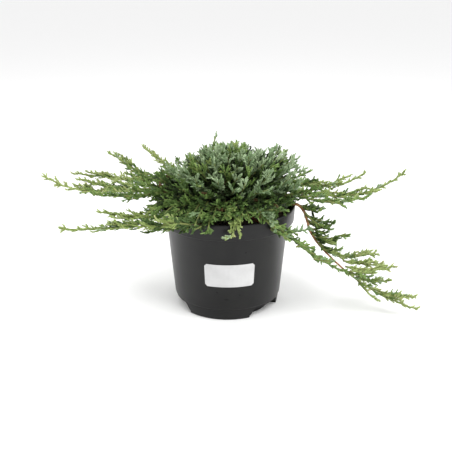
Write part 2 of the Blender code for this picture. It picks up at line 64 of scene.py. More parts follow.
def noisy(name, colours, scale, rough, bump=0.0, bump_scale=None, stretch=(1, 1, 1), spec=0.4):
    """A two or three colour noise with bump, in the row's own metres."""
    m = bpy.data.materials.new(name)
    m.use_nodes = True
    nt = m.node_tree
    b = nt.nodes["Principled BSDF"]
    b.inputs["Specular IOR Level"].default_value = spec
    tc = nt.nodes.new("ShaderNodeTexCoord")
    mp = nt.nodes.new("ShaderNodeMapping")
    mp.inputs["Scale"].default_value = stretch
    nt.links.new(tc.outputs["Object"], mp.inputs["Vector"])
    n = nt.nodes.new("ShaderNodeTexNoise")
    n.inputs["Scale"].default_value = scale
    n.inputs["Detail"].default_value = 6
    nt.links.new(mp.outputs["Vector"], n.inputs["Vector"])
    r = nt.nodes.new("ShaderNodeValToRGB")
    r.color_ramp.elements[0].color = colours[0]
    r.color_ramp.elements[0].position = 0.32
    r.color_ramp.elements[1].color = colours[-1]
    r.color_ramp.elements[1].position = 0.70
    if len(colours) == 3:
        r.color_ramp.elements.new(0.5).color = colours[1]
    nt.links.new(n.outputs["Fac"], r.inputs["Fac"])
    nt.links.new(r.outputs["Color"], b.inputs["Base Color"])
    mr = nt.nodes.new("ShaderNodeMapRange")
    mr.inputs["To Min"].default_value = rough[0]
    mr.inputs["To Max"].default_value = rough[1]
    nt.links.new(n.outputs["Fac"], mr.inputs["Value"])
    nt.links.new(mr.outputs["Result"], b.inputs["Roughness"])
    if bump:
        f = nt.nodes.new("ShaderNodeTexNoise")
        f.inputs["Scale"].default_value = bump_scale or scale * 6
        f.inputs["Detail"].default_value = 4
        nt.links.new(mp.outputs["Vector"], f.inputs["Vector"])
        bp = nt.nodes.new("ShaderNodeBump")
        bp.inputs["Strength"].default_value = bump
        bp.inputs["Distance"].default_value = 0.0006
        nt.links.new(f.outputs["Fac"], bp.inputs["Height"])
        nt.links.new(bp.outputs["Normal"], b.inputs["Normal"])
    m.diffuse_color = colours[0]
    return m


# foliage colours, dealt out by spray; shade_dark and shade are painted shade, the darkness inside the crown, wherever
# they stand
GREENS = {
    "shade_brown": srgb(92, 70, 44), "shade_dark": srgb(36, 48, 26), "shade": srgb(52, 69, 37),
    "deep": srgb(74, 98, 50), "mid": srgb(94, 121, 62), "fresh": srgb(116, 142, 76),
    "blue": srgb(127, 151, 110), "blue_pale": srgb(156, 176, 138), "grey": srgb(143, 162, 124),
    "lime": srgb(141, 159, 92), "lime_pale": srgb(160, 175, 112), "straw": srgb(172, 176, 120),
}
GREEN_NAMES = list(GREENS)
GREEN_MATS = [plain("foliage_" + n, GREENS[n], 0.58) for n in GREEN_NAMES]
SLOT = {n: i for i, n in enumerate(GREEN_NAMES)}
TWIGS = {"twig_rust": srgb(122, 76, 46), "twig_tan": srgb(164, 124, 78), "twig_dark": srgb(72, 52, 36),
         "twig_green": srgb(106, 112, 60)}
TWIG_NAMES = list(TWIGS)
TWIG_MATS = [plain(n, TWIGS[n], 0.72) for n in TWIG_NAMES]


# ------------------------------------------------------------- mesh building
def frames(P):
    """Tangents and two normals for polylines P of shape (n, k, 3)."""
    T = np.gradient(P, axis=1)
    T /= np.linalg.norm(T, axis=2, keepdims=True) + 1e-12
    ref = np.zeros_like(T)
    ref[..., 2] = 1.0
    flat = np.abs(T[..., 2]) > 0.93
    ref[flat] = (1.0, 0.0, 0.0)
    A = np.cross(T, ref)
    A /= np.linalg.norm(A, axis=2, keepdims=True) + 1e-12
    return T, A, np.cross(T, A)


def tubes(P, R, sides=3):
    """Closed tapering tubes: vertices, triangles and the cord each triangle is on."""
    n, k, _ = P.shape
    T, A, B = frames(P)
    ang = np.arange(sides) * (math.tau / sides)
    ring = (P[:, :, None, :] + R[:, :, None, None]
            * (np.cos(ang)[None, None, :, None] * A[:, :, None, :] + np.sin(ang)[None, None, :, None] * B[:, :, None, :]))
    V = ring.reshape(n, k * sides, 3)
    tip = P[:, -1:, :] + T[:, -1:, :] * R[:, -1:, None] * 1.6
    V = np.concatenate([V, tip], axis=1)
    f = []
    for i in range(k - 1):
        for j in range(sides):
            a, b = i * sides + j, i * sides + (j + 1) % sides
            c, d = a + sides, b + sides
            f += [(a, b, d), (a, d, c)]
    last = (k - 1) * sides
    for j in range(sides):
        f.append((last + j, last + (j + 1) % sides, k * sides))
    for j in range(1, sides - 1):
        f.append((0, j + 1, j))
    f = np.array(f)
    per = k * sides + 1
    F = (f[None] + (np.arange(n) * per)[:, None, None]).reshape(-1, 3)
    return V.reshape(-1, 3), F, np.repeat(np.arange(n), len(f))


def scales(P, R, count, size, lift=0.5):
    """Opposite pairs of small pointed scale leaves along cords, each two triangles folded along its middle."""
    n, k, _ = P.shape
    T, A, B = frames(P)
    at = (np.arange(count) + 0.6) / count * (k - 1)
    lo = np.minimum(at.astype(int), k - 2)
    w = (at - lo)[None, :, None]
    pick = lambda X: X[:, lo] * (1 - w) + X[:, lo + 1] * w
    C, t, a, b = pick(P), pick(T), pick(A), pick(B)
    r = R[:, lo] * (1 - w[..., 0]) + R[:, lo + 1] * w[..., 0]
    out = []
    for side in (0, 1):
        turn = (np.arange(count) % 2) * (math.pi / 2) + side * math.pi + 0.4
        ca, sa = np.cos(turn)[None, :, None], np.sin(turn)[None, :, None]
        N = ca * a + sa * b
        S = -sa * a + ca * b
        s = size[:, None, None] * (1 + 0.25 * (rng.random((n, count, 1)) - 0.5))
        base = C + N * r[..., None] * 0.55 - t * s * 0.25
        left = C + N * r[..., None] * 0.95 + S * s * 0.36 + t * s * 0.2
        right = C + N * r[..., None] * 0.95 - S * s * 0.36 + t * s * 0.2
        point = C + N * (r[..., None] + s * lift * 0.5) + t * s * 0.95
        out.append(np.stack([base, left, point, right], axis=2))
    V = np.stack(out, axis=2).reshape(-1, 3)
    m = n * count * 2
    q = np.arange(m)[:, None] * 4
    F = np.concatenate([q + np.array([0, 2, 1]), q + np.array([0, 3, 2])], axis=1).reshape(-1, 3)
    return V, F, np.repeat(np.arange(n), count * 2 * 2)


def mesh_piece(name, V, F, mats, mat_index, smooth=False):
    me = bpy.data.meshes.new(name)
    me.vertices.add(len(V))
    me.vertices.foreach_set("co", np.ascontiguousarray(V, np.float32).ravel())
    me.loops.add(len(F) * 3)
    me.loops.foreach_set("vertex_index", np.ascontiguousarray(F, np.int32).ravel())
    me.polygons.add(len(F))
    me.polygons.foreach_set("loop_start", np.arange(len(F), dtype=np.int32) * 3)
    me.polygons.foreach_set("loop_total", np.full(len(F), 3, np.int32))
    for m in mats:
        me.materials.append(m)
    me.polygons.foreach_set("material_index", np.ascontiguousarray(mat_index, np.int32))
    me.polygons.foreach_set("use_smooth", np.full(len(F), smooth))
    me.update(calc_edges=True)
    o = bpy.data.objects.new(name, me)
    coll.objects.link(o)
    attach(o, "root")
    return o


# ------------------------------------------------------- the shape of the crown
REACH = {0: 93.0, 45: 94.0, 90: 103.0, 135: 109.0, 180: 114.0, 225: 110.0, 270: 110.0, 315: 98.0}


def reach(az):
    az = np.asarray(az) % 360.0
    i = np.floor(az / 45.0)
    w = az / 45.0 - i
    w = w * w * (3 - 2 * w)
    keys = np.array([REACH[k] for k in sorted(REACH)] + [REACH[0]])
    i = i.astype(int)
    return keys[i] * (1 - w) + keys[i + 1] * w


def dome(az, phi):
    """Points on the crown's outline; az from the front, phi up from its widest level, both in degrees."""
    a, p = np.radians(az), np.radians(phi)
    r = reach(az) * np.maximum(np.cos(p), 0) ** 0.77
    x, y = r * np.sin(a), -r * np.cos(a)
    high = 76.0 * (1 - 0.20 * np.clip((-x - 25) / 60, 0, 1)) * (1 - 0.10 * np.exp(-((x - 47) / 8.0) ** 2))
    s = np.sin(p)
    z = np.where(s > 0, 159 + high * np.maximum(s, 0) ** 0.77, 159 + 9.5 * s)
    return np.stack([x, y, z], -1)


def polar(az, r, z):
    a = math.radians(az)
    return np.array([r * math.sin(a), -r * math.cos(a), z])


def shoot_curve(row, s):
    a0, r0, z0, a1, r1, z1, up, aside, skew, sside = row
    p0, p1 = polar(a0, r0, z0), polar(a1, r1, z1)
    c = p1 - p0
    side = np.array([-c[1], c[0], 0.0])
    side /= np.linalg.norm(side) + 1e-9
    s = s[:, None]
    bow, wave = 4 * s * (1 - s), 10.392 * s * (1 - s) * (1 - 2 * s)
    z = np.array([0, 0, 1.0])
    return p0 + c * s + bow * (up * z + aside * side) + wave * (skew * z + sside * side)


# axes read from the photograph: start and tip as azimuth, radius, height, then four bends
AXES = {
    "left_long": (-90, 114, 167, -97.8, 265, 174, -12.2, .5, 2.9, -.3),
    "left_under": (-80, 112, 165, -80.7, 185, 168, -3, 0, -.6, 0),
    "left_upper": (-108, 117, 169, -103.7, 232, 173, -1, -.1, -.2, 0),
    "left_mid": (-98, 134, 166, -95.4, 212, 175, -4.4, 0, -.7, 0),
    "back_left": (-117, 132, 169, -118.1, 202, 192, -1, 0, -1.2, .4),
    "back_left_upper": (-124, 115, 188, -122.7, 148, 205, 0, 0, -.1, 0),
    "front_left": (-60, 107, 146, -68.5, 180, 155, -1.6, -.1, -.6, 0),
    "front_left_long": (-25, 108, 150, -60.4, 239, 152, -.8, -.1, 1.3, 0),
    "front_left_low": (-42, 109, 141, -50.2, 141, 136, -.3, 0, .9, 0),
    "right_upper": (96, 107, 170, 99.2, 199, 180, -10.1, -.4, .3, .1),
    "right_long": (86, 108, 165, 90, 245, 191, -18.1, -.3, 1.6, .1),
    "right_lower": (74, 111, 163, 79.6, 194, 167, -5.9, 0, -.5, 0),
    "right_fork": (72, 146, 162, 73.8, 165, 156, 1.7, 0, 0, 0),
    "low_leader": (74.6, 166, 65, 77.3, 272, 10, -7.7, -.5, -.1, -.1),
    "low_second": (74, 223, 34, 74.4, 267, 36, -1.6, 0, 0, 0),
    "low_tuft": (79, 136, 90, 80.4, 167, 76, -1, 0, .4, 0),
    "low_fan_back": (85, 157, 71, 87.3, 214, 73, -1.3, 0, -1.1, 0),
    "low_fan_upper": (77, 165, 74, 79.6, 221, 69, -1.9, 0, 0, 0),
    "low_fan_middle": (72, 170, 72, 75.6, 234, 74, -4.7, 0, -.1, 0),
    "low_fan_front": (69, 178, 70, 69.9, 210, 71, -1.1, 0, .8, 0),
    "low_fan_lower": (79, 184, 48, 82.6, 232, 40, -2.2, 0, .2, 0),
    "hang_tuft": (80, 118, 143, 77.4, 129, 107, .3, .6, .2, .6),
    "hang_spray_upper": (75, 132, 121, 72.6, 151, 133, -.8, .2, .2, -.1),
    "hang_spray_lower": (72, 133, 112, 71.4, 172, 120, -3.6, .1, -1.6, 0),
    "hang_spray_side": (74, 130, 101, 79.2, 161, 88, -4.7, .2, .2, 0),
    "front_right_long": (33, 103, 150, 69.2, 174, 68, -7.2, 1.5, 1.5, -.2),
    "front_right_end": (53, 142, 97, 57.3, 163, 95, -.3, 0, .1, 0),
    "front_right_side": (44, 105, 131, 63.3, 123, 127, -.3, .1, -.5, 0),
    "front_right_fork": (44, 128, 117, 49.6, 142, 115, 1.9, 0, .2, 0),
    "front_right_fan": (29, 92, 161, 30.9, 120, 145, 1.7, 1.7, -.1, -.2),
    "front_spray": (7, 85, 164, -1.8, 104, 133, -4.4, 6, 1.4, -.6),
    "front_spray_fork": (7, 101, 149, 9.1, 101, 137, 0, 0, 0, 0),
    "top_whip": (-142, 25, 216, -151.8, 33, 236, -.3, 3.7, -.2, .6),
    "back_long": (176, 114, 164, 179, 226, 160, 5, -3, 0, 0),
    "back_right": (147, 110, 162, 151, 214, 148, 5, 0, 0, 0),
    "back_right_low": (124, 108, 158, 127, 192, 124, 6, 0, 0, 0),
    "back_low": (-168, 112, 158, -163, 192, 112, 8, 0, 0, 0),
    "back_left_low": (-140, 110, 158, -138, 199, 130, 6, 0, 0, 0),
}
# widest lateral in mm, and the colours of root and tip; a shade root is painted shade
LOOK = {
    "left_long": (24, "fresh", "lime_pale"), "left_under": (14, "mid", "fresh"), "left_upper": (17, "mid", "lime_pale"),
    "left_mid": (12, "fresh", "lime"), "back_left": (14, "mid", "lime"), "back_left_upper": (12, "fresh", "lime_pale"),
    "front_left": (20, "mid", "lime"), "front_left_long": (25, "deep", "lime"), "front_left_low": (11, "deep", "mid"),
    "right_upper": (13, "fresh", "lime"), "right_long": (13, "mid", "lime"), "right_lower": (11, "mid", "fresh"),
    "right_fork": (7, "mid", "fresh"), "low_leader": (9, "fresh", "lime_pale"), "low_second": (8, "fresh", "lime_pale"),
    "low_tuft": (15, "mid", "lime"), "low_fan_back": (15, "fresh", "lime_pale"), "low_fan_upper": (16, "lime", "lime_pale"),
    "low_fan_middle": (14, "lime", "lime_pale"), "low_fan_front": (12, "fresh", "lime"), "low_fan_lower": (12, "fresh", "lime"),
    "hang_tuft": (11, "shade", "mid"), "hang_spray_upper": (12, "deep", "mid"), "hang_spray_lower": (14, "deep", "fresh"),
    "hang_spray_side": (10, "mid", "fresh"), "front_right_long": (10, "deep", "fresh"), "front_right_end": (9, "mid", "fresh"),
    "front_right_side": (9, "deep", "blue"), "front_right_fork": (8, "mid", "fresh"), "front_right_fan": (13, "deep", "blue"),
    "front_spray": (10, "mid", "lime"), "front_spray_fork": (8, "mid", "lime"), "top_whip": (2.6, "mid", "blue"),
}

# ------------------------------------------------------------ growing the axes
KA = 26
axes_p, axes_wide, axes_root, axes_tip, axes_group, axes_bare, axes_lift = [], [], [], [], [], [], []


def add_axis(points, wide, root, tip, group, bare, lift=0.0):
    axes_p.append(points)
    axes_wide.append(wide)
    axes_root.append(root)
    axes_tip.append(tip)
    axes_group.append(group)
    axes_bare.append(bare)
    axes_lift.append(lift)


def resample(P, k):
    d = np.concatenate([[0], np.cumsum(np.linalg.norm(np.diff(P, axis=0), axis=1))])
    t = np.linspace(0, d[-1], k)
    return np.stack([np.interp(t, d, P[:, i]) for i in range(3)], 1), d[-1]


STEM_HEAD = np.array([0.0, 2.0, 148.0])
for name, row in AXES.items():
    P = shoot_curve(row, np.linspace(0, 1, 40))
    wide, root, tip = LOOK.get(name, (13, "mid", "fresh"))
    bare = 0.0
    if row[1] < 120 and not name.startswith(("hang", "top", "low")):
        # carried on inside the crown to the stem, as a bare twig
        d0 = P[1] - P[0]
        d0 /= np.linalg.norm(d0)
        inner = STEM_HEAD + (P[0] - STEM_HEAD) * 0.12
        t = np.linspace(0, 1, 14)[:, None]
        span = np.linalg.norm(P[0] - inner)
        h = (2 * t**3 - 3 * t**2 + 1) * inner + (t**3 - 2 * t**2 + t) * (P[0] - inner) \
            + (-2 * t**3 + 3 * t**2) * P[0] + (t**3 - t**2) * d0 * span
        total = span + np.linalg.norm(P[-1] - P[0])
        bare = 0.62 * span / total
        P = np.concatenate([h[:-1], P])
    P, L = resample(P, KA)
    group = "left" if row[3] < -40 and row[3] > -130 else "right" if 20 < row[3] < 110 else "back" if abs(row[3]) > 110 else "front"
    add_axis(P, wide, root, tip, "shoots_" + group, bare)

# forks: each long shoot divides into shorter ones that lean forward beside it
def fork(P, s, turn_side, turn_up, size):
    k = s * (len(P) - 1)
    i = min(int(k), len(P) - 2)
    p = P[i] + (P[i + 1] - P[i]) * (k - i)
    d = P[min(i + 3, len(P) - 1)] - P[max(i - 1, 0)]
    d /= np.linalg.norm(d)
    side = np.cross(d, [0, 0, 1.0])
    side /= np.linalg.norm(side) + 1e-9
    up = np.cross(side, d)
    e = d * math.cos(turn_side) + side * math.sin(turn_side)
    e = e * math.cos(turn_up) + up * math.sin(turn_up)
    t = np.linspace(0, 1, 20)[:, None]
    return p + size * (e * t + (d + np.array([0, 0, 0.12]) - e) * 0.45 * t * t)


def row_left(P):
    return P[-1][0] < 0


SHOOT_COUNT = len(axes_p)
for i in range(SHOOT_COUNT):
    P = axes_p[i]
    L = np.linalg.norm(np.diff(P, axis=0), axis=1).sum()
    free = 1 - axes_bare[i]
    if L * free < 42 or axes_group[i] == "front":
        continue
    m = int(2 + L * free / (30 if row_left(P) else 42))
    for j in range(m):
        s = axes_bare[i] + free * (0.02 + 0.66 * (j + 0.3 * rng.random()) / m)
        out = (s - axes_bare[i]) / free
        hand_ = 1 if j % 2 else -1
        size = min(46, L * free * 0.36) * (1.05 - 0.62 * out) * (0.8 + 0.4 * rng.random())
        Q = fork(P, s, hand_ * math.radians(rng.uniform(14, 34)), math.radians(rng.uniform(-14, 20)), size)
        Q, _ = resample(Q, KA)
        add_axis(Q, axes_wide[i] * 0.62, axes_root[i], axes_tip[i] if out > 0.15 else axes_root[i], axes_group[i], 0.0)

# a skirt of sprays that lies over the front of the rim
for i, az in enumerate(np.linspace(-84, 46, 22)):
    a = math.radians(az)
    flat = np.array([math.sin(a), -math.cos(a), 0.0])
    left = az < -12
    r1 = (106 + 7 * rng.random()) if left else (97 + 4 * rng.random())
    z1 = (143 + 8 * rng.random()) if left else (152 + 4 * rng.random())
    if -10 < az < 24:
        r1, z1 = 91 + 4 * rng.random(), 156 + 4 * rng.random()
    start = flat * (52 + 10 * rng.random()) + np.array([0, 0, 163 + 8 * rng.random()])
    end = flat * r1 + np.array([rng.normal(0, 4), 0, z1])
    t = np.linspace(0, 1, 24)[:, None]
    Q = start + (end - start) * t + np.array([0, 0, 1.0]) * 4 * t * (1 - t) * (5 + 3 * rng.random())
    Q, _ = resample(Q, KA)
    # the skirt's roots lie inside the crown, so shade_dark and shade there are painted shade
    add_axis(Q, 15 + 3 * rng.random(), ("shade_dark", "shade", "deep")[i % 3], ("mid", "fresh", "mid")[i % 3], "crown_front", 0.0)

# sprays on the bough that crosses the rim
BOUGH = np.array([polar(a, r, z) for a, r, z in
                  ((76, 96, 153), (76, 104, 150), (75.8, 109, 143), (75.5, 113, 131), (75.2, 117, 118), (75, 126, 104), (75, 138, 90), (75, 150, 79))])
BOUGH, _ = resample(BOUGH, 60)
for i in range(15):
    p = BOUGH[int(2 + i * 3.3)]
    a = math.radians(75)
    out, across = np.array([math.sin(a), -math.cos(a), 0]), np.array([math.cos(a), math.sin(a), 0])
    e = out * rng.uniform(0.35, 1.0) + across * (-0.9 if i % 2 else 0.75) * rng.uniform(0.3, 1) + np.array([0, 0, rng.uniform(-0.5, 0.55)])
    e /= np.linalg.norm(e)
    k = int(2 + i * 3.3)
    tan = BOUGH[min(k + 3, 59)] - BOUGH[max(k - 3, 0)]
    e = e + tan / np.linalg.norm(tan) * 0.75
    e /= np.linalg.norm(e)
    t = np.linspace(0, 1, 20)[:, None]
    size = rng.uniform(20, 33) * (1 if i < 12 else 0.75)
    Q = p + size * (e * t + np.array([out[0] * 0.3, out[1] * 0.3, 0.12]) * t * t)
    Q, _ = resample(Q, KA)
    add_axis(Q, 9.5, ("deep", "mid", "shade")[i % 3], ("fresh", "mid", "blue")[i % 3] if i < 9 else "lime", "shoots_right", 0.0)

# axes that fill the crown: tips spread evenly over its outline
count = 142
golden = math.pi * (3 - math.sqrt(5))
for i in range(count):
    u = (i + 0.5) / count
    az = math.degrees((i * golden) % math.tau)
    phi = -24 + 112 * u ** 0.92
    az += rng.normal(0, 4)
    tip = dome(np.array([az]), np.array([phi]))[0]
    out = tip - np.array([0, 0, 150.0])
    tip = np.array([0, 0, 150.0]) + out * ((0.79 if phi > 30 else 0.88) + 0.07 * rng.random()
                                      + (0.15 if 30 < (az % 360) < 125 and 12 < phi < 62 else 0.0))
    a = math.radians(az)
    flat = np.array([math.sin(a), -math.cos(a), 0.0])
    start = STEM_HEAD + flat * 4 + np.array([0, 0, 2 + 3 * rng.random()])
    t = np.linspace(0, 1, 30)[:, None]
    span = np.linalg.norm(tip - start)
    # spreads outward low, then lifts its tip
    d0 = flat * 0.9 + np.array([0, 0, 0.15 + 0.9 * max(0.0, math.sin(math.radians(phi)))])
    d1 = flat * (0.55 if phi > 10 else 0.9) + np.array([0, 0, 0.75 if phi > 10 else (0.25 if phi > -8 else -0.45)])
    d1 = d1 + rng.normal(0, 0.22, 3)
    P = (2 * t**3 - 3 * t**2 + 1) * start + (t**3 - 2 * t**2 + t) * d0 * span \
        + (-2 * t**3 + 3 * t**2) * tip + (t**3 - t**2) * d1 * span
    P, L = resample(P, KA)
    high = (tip[2] - 150) / 85.0
    # roots of the crown's axes are painted shade (shade_dark, shade), darkest below its top
    if high > 0.45:
        look = [("shade", "blue"), ("deep", "blue_pale"), ("shade", "grey"), ("deep", "blue_pale"), ("shade", "fresh")][i % 5]
    elif high > 0.15:
        look = [("shade_dark", "mid"), ("shade_dark", "fresh"), ("shade_dark", "deep"), ("shade", "mid"), ("shade_dark", "mid")][i % 5]
    else:
        look = [("shade_dark", "deep"), ("shade", "mid"), ("shade_dark", "mid")][i % 3]
    quarter = "front" if abs(((az + 180) % 360) - 180) < 90 else "back"
    group = "crown_top" if phi > 45 else "crown_" + quarter
    add_axis(P, (17 if high > 0.45 else 21) + 5 * rng.random(), look[0], look[1], group, 0.40)

A = np.array(axes_p)
n_axes = len(A)
wide = np.array(axes_wide, float)
bare = np.array(axes_bare)
root_c = np.array([SLOT[c] for c in axes_root])
tip_c = np.array([SLOT[c] for c in axes_tip])
length = np.linalg.norm(np.diff(A, axis=1), axis=2).sum(1)
TA, SA, UA = frames(A)

# ------------------------------------------------------------------- laterals
STEP1 = 4.3
own, where, hand = [], [], []
for i in range(n_axes):
    m = max(4, int(length[i] * (1 - bare[i]) / STEP1))
    s = bare[i] + (1 - bare[i]) * (np.arange(m) + 0.2 + 0.6 * rng.random(m)) / m
    own.append(np.full(m, i))
    where.append(np.clip(s, 0, 0.985))
    hand.append(np.where(np.arange(m) % 2 == 0, 1.0, -1.0))
own, where, hand = np.concatenate(own), np.concatenate(where), np.concatenate(hand)
n1 = len(own)


def along(X, i, s):
    f = s * (X.shape[1] - 1)
    lo = np.minimum(f.astype(int), X.shape[1] - 2)
    w = (f - lo)[:, None]
    return X[i, lo] * (1 - w) + X[i, lo + 1] * w


P0, T0, S0, U0 = along(A, own, where), along(TA, own, where), along(SA, own, where), along(UA, own, where)
roll = rng.normal(0, 0.55, n1)[:, None] + np.where(rng.random(n1) < 0.22, math.pi / 2, 0)[:, None]
side = (S0 * np.cos(roll) + U0 * np.sin(roll)) * hand[:, None]
is_shoot = np.array([g.startswith("shoots") for g in axes_group])[own]
theta = np.radians(np.where(is_shoot, 33, 42) + rng.normal(0, 7, n1))[:, None]
rel = (where - bare[own]) / (1 - bare[own])
shape = np.minimum(1.0, 0.55 + 1.4 * rel) * (1.0 - 0.72 * rel ** 1.6)
L1 = wide[own] * shape * (0.75 + 0.5 * rng.random(n1))
L1 = np.where(np.array([g.startswith("shoots") for g in axes_group])[own], 0.86 * L1, L1)
D1 = T0 * np.cos(theta) + side * np.sin(theta)
t = np.linspace(0, 1, 7)[None, :, None]
fwd = T0 * 0.55 + np.array([0, 0, 0.30]) * (U0[:, 2:3] * 0 + 1)
curve = D1[:, None, :] * t + fwd[:, None, :] * t * t * 0.55
B = P0[:, None, :] + L1[:, None, None] * curve / 1.15
# keep the laterals clear of the pot and soil
def clear_of_pot(X):
    r = np.hypot(X[..., 0], X[..., 1])
    low = (r < 97.5) & (X[..., 2] < 149.5)
    X[..., 2] = np.where(low & (X[..., 2] > 118), 149.5 + rng.random(X.shape[:-1]) * 1.5, X[..., 2])
    return X


B = clear_of_pot(B)
TB, SB, UB = frames(B)

# ---------------------------------------------------------------- branchlets
STEP2 = 2.45
m2 = np.maximum(2, (L1 / STEP2)).astype(int)
own2 = np.repeat(np.arange(n1), m2)
idx = np.concatenate([np.arange(m) for m in m2])
s2 = np.clip((idx + 0.3 + 0.5 * rng.random(len(idx))) / m2[own2], 0, 0.97)
hand2 = np.where(idx % 2 == 0, 1.0, -1.0)
Q0, QT, QS, QU = along(B, own2, s2), along(TB, own2, s2), along(SB, own2, s2), along(UB, own2, s2)
plane = side[own2] - QT * np.sum(side[own2] * QT, 1, keepdims=True)
plane = np.cross(QT, np.cross(T0[own2], QT) + 1e-6)
plane /= np.linalg.norm(plane, axis=1, keepdims=True) + 1e-9
up2 = np.cross(QT, plane)
roll2 = rng.normal(0, 0.6, len(idx))[:, None]
dirs = (plane * np.cos(roll2) + up2 * np.sin(roll2)) * hand2[:, None]
th2 = np.radians(rng.normal(34, 7, len(idx)))[:, None]
L2 = (4.3 + 3.6 * rng.random(len(idx))) * (1.05 - 0.42 * s2) * np.where(is_shoot[own2], 0.86, 1.0)
D2 = QT * np.cos(th2) + dirs * np.sin(th2)
t2 = np.linspace(0, 1, 4)[None, :, None]
C = Q0[:, None, :] + L2[:, None, None] * (D2[:, None, :] * t2 + (QT * 0.30 + np.array([0, 0, 0.12]))[:, None, :] * t2 * t2) / 1.1
C = clear_of_pot(C)

# ------------------------------------------------------------------- colours
inner = np.clip(1 - rel / 0.42, 0, 1)
pick = rng.random(n1)
on_shoot = np.array([g.startswith("shoots") for g in axes_group])[own]
# laterals near an axis's root mostly keep its root colour, which inside the crown is painted shade; further out they
# take its tip colour
col1 = np.where(pick < np.clip(rel * 1.3 - 0.1 + 0.22 * on_shoot, 0, 1), tip_c[own], root_c[own])
dead = (rng.random(n1) < 0.12 * inner) & (bare[own] > 0.3)
col1 = np.where(dead, SLOT["shade_brown"], col1)
low_dry = (rng.random(n1) < 0.035) & (P0[:, 2] < 172) & (np.hypot(P0[:, 0], P0[:, 1]) < 96)
col1 = np.where(low_dry, SLOT["shade_brown"], col1)
dead = dead | low_dry
jump = rng.random(n1)
col1 = np.where((jump < 0.10) & ~dead, np.minimum(col1 + 1, SLOT["lime_pale"]), col1)
col1 = np.where((jump > 0.90) & ~dead, np.maximum(col1 - 1, SLOT["shade_dark"]), col1)
col2 = col1[own2]
j2 = rng.random(len(idx))
tipward = (s2 > 0.55) & (j2 < 0.22) & (col2 >= SLOT["deep"])
lighter = np.array([SLOT[c] for c in ("shade_brown", "shade", "deep", "mid", "fresh", "lime",
                                      "blue_pale", "grey", "blue_pale", "lime_pale", "straw", "straw")])
col2 = np.where(tipward, lighter[col2], col2)

# --------------------------------------------------------------- the pieces
groups = sorted(set(axes_group))
group_of_axis = np.array([groups.index(g) for g in axes_group])
SHOOT_NODES = [n for n in NODES if n.startswith("shoot_")]


def nodes_of(group):
    if group == "crown_top":
        return [n for n in NODES if n.startswith("crown_top")] + ["shoot_top_whip"]
    if group == "crown_front":
        return ["crown_front", "crown_front_left", "crown_front_right", "crown_right", "crown_left"]
    if group == "crown_back":
        return ["crown_back", "crown_back_left", "crown_back_right"]
    if group == "shoots_left":
        return [n for n in SHOOT_NODES if n.startswith(("shoot_left", "shoot_front_left", "shoot_back_left_upper"))
                or n == "shoot_back_left"]
    if group == "shoots_right":
        return [n for n in SHOOT_NODES if n.startswith(("shoot_right", "shoot_low", "shoot_hang", "shoot_front_right"))]
    if group == "shoots_back":
        return ["shoot_back_long", "shoot_back_right", "shoot_back_right_low", "shoot_back_low", "shoot_back_left_low"]
    return ["shoot_front_spray"]


total = 0
for gi, g in enumerate(groups):
    ax = np.where(group_of_axis == gi)[0]
    l1 = np.where(group_of_axis[own] == gi)[0]
    l2 = np.where(group_of_axis[own[own2]] == gi)[0]
    parts = []
    r1 = np.linspace(1.05, 0.75, 7)[None, :] * np.ones((len(l1), 1))
    r2 = np.array([0.9, 1.05, 1.0, 0.62])[None, :] * np.ones((len(l2), 1))
    parts.append((tubes(B[l1], r1), col1[l1]))
    parts.append((scales(B[l1], r1, 8, np.full(len(l1), 2.5)), col1[l1]))
    parts.append((tubes(C[l2], r2), col2[l2]))
    parts.append((scales(C[l2], r2, 3, np.full(len(l2), 2.3)), col2[l2]))
    V, F, M, off = [], [], [], 0
    for (v, f, o), c in parts:
        V.append(v); F.append(f + off); M.append(c[o]); off += len(v)
    V, F, M = np.concatenate(V), np.concatenate(F), np.concatenate(M)
    V = V * MM
    total += len(F)
    pieces = max(1, math.ceil(len(F) / 185000))
    # divided by the triangle's place round the axis
    if pieces > 1:
        cx = V[F[:, 0]]
        key = np.arctan2(cx[:, 0], -cx[:, 1])
        order = np.argsort(key, kind="stable")
        chunks = np.array_split(order, pieces)
    else:
        chunks = [np.arange(len(F))]
    for k, ch in enumerate(chunks):
        f = F[ch]
        used, inv = np.unique(f.ravel(), return_inverse=True)
        o = mesh_piece(f"foliage_{g}_{k + 1}", V[used], inv.reshape(-1, 3), GREEN_MATS, M[ch])
        if k == 0:
            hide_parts(*nodes_of(g))

# axes: woody inside, green cords towards their tips
rad = np.linspace(1.0, 0.0, KA)[None, :] * 0.75 + 0.75
rad = rad * np.ones((n_axes, 1))
v, f, o = tubes(A, rad, sides=5)
seg = np.tile(np.arange(len(f) // n_axes), n_axes) / (len(f) // n_axes)
woody = np.array([TWIG_NAMES.index("twig_dark" if i > SHOOT_COUNT or i % 3 else "twig_rust") if b > 0 else TWIG_NAMES.index("twig_green")
                  for i, b in enumerate(bare)])
mat = np.where(seg < np.maximum(bare[o] + 0.15, 0.2), woody[o], TWIG_NAMES.index("twig_green"))
twigs = mesh_piece("twigs", v * MM, f, TWIG_MATS, mat, smooth=True)
total += len(f)
print("triangles of foliage and twigs:", total, "laterals", n1, "branchlets", len(idx))

# ------------------------------------------------------------ stem and boughs
bark = noisy("bark", [srgb(74, 50, 34), srgb(122, 78, 48), srgb(160, 118, 78)], 180, (0.75, 0.95), 0.8, 900, (1, 1, 0.35))
RIM = [(74, 9.2, 140, 3.3), (75, 30, 142, 3.2), (76, 60, 144.5, 3.1), (76, 80, 149.5, 3.0), (76, 91, 152.3, 3.0),
       (76, 98, 152.5, 3.0), (76, 104, 149, 2.9), (75.8, 109, 142, 2.8), (75.5, 113, 131, 2.7), (75.2, 117, 117, 2.6),
       (75, 126, 103, 2.4), (75, 138, 89.5, 2.2), (75, 150, 78, 2.0), (75, 164, 66, 1.8)]


